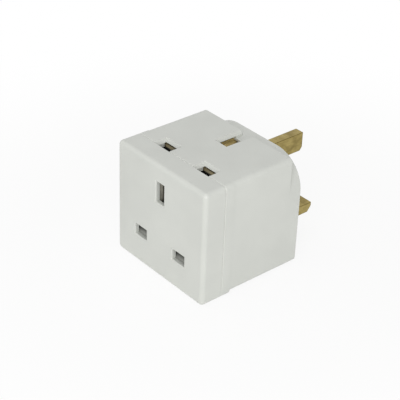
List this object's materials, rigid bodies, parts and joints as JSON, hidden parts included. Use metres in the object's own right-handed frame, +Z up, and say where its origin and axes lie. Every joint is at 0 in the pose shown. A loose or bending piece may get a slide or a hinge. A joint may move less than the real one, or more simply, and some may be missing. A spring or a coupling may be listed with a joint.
{
  "type": "multi socket adapter",
  "caption": "Block-shaped plug-in mains adapter that turns one wall socket into a front and a top socket, with brass pins behind and a sprung shutter.",
  "frame": {"origin": "on the plug face, midway between the centres of the two lower pins", "axes": "+X to the right seen from the front socket, +Y to the wall, the way the pins point, +Z up"},
  "size_m": [0.0508, 0.0707, 0.048],
  "materials": {
    "white_plastic": "moulded, satin gloss",
    "brass": "machined, satin",
    "spring_bronze": "stamped sheet",
    "sleeve_plastic": "moulded, matte",
    "plated_steel": "zinc plated",
    "spring_steel": "drawn wire"
  },
  "bodies": {
    "housing": {"case_screw_left": "plated_steel", "case_screw_right": "plated_steel", "earth_front_jaw": "spring_bronze", "earth_front_rivet": "brass", "earth_pin": "brass", "earth_strip": "brass", "earth_top_jaw": "spring_bronze", "earth_top_rivet": "brass", "front_cover": "white_plastic", "line_front_jaw": "spring_bronze", "line_front_rivet": "brass", "line_pin": "brass", "line_pin_sleeve": "sleeve_plastic", "line_strip": "brass", "line_top_jaw": "spring_bronze", "line_top_rivet": "brass", "neutral_front_jaw": "spring_bronze", "neutral_front_rivet": "brass", "neutral_pin": "brass", "neutral_pin_sleeve": "sleeve_plastic", "neutral_strip": "brass", "neutral_top_jaw": "spring_bronze", "neutral_top_rivet": "brass", "rear_body": "white_plastic", "shutter_spring": "spring_steel"},
    "shutter": {"shutter": "white_plastic"}
  },
  "joints": [
    {"name": "shutter_slide", "type": "slide", "parent": "housing", "child": "shutter", "axis": [0, 0, -1], "range_m": [0, 0.0051], "stiffness_N_per_m": 80, "springref_m": -0.004, "deforming": ["shutter_spring"]}
  ]
}
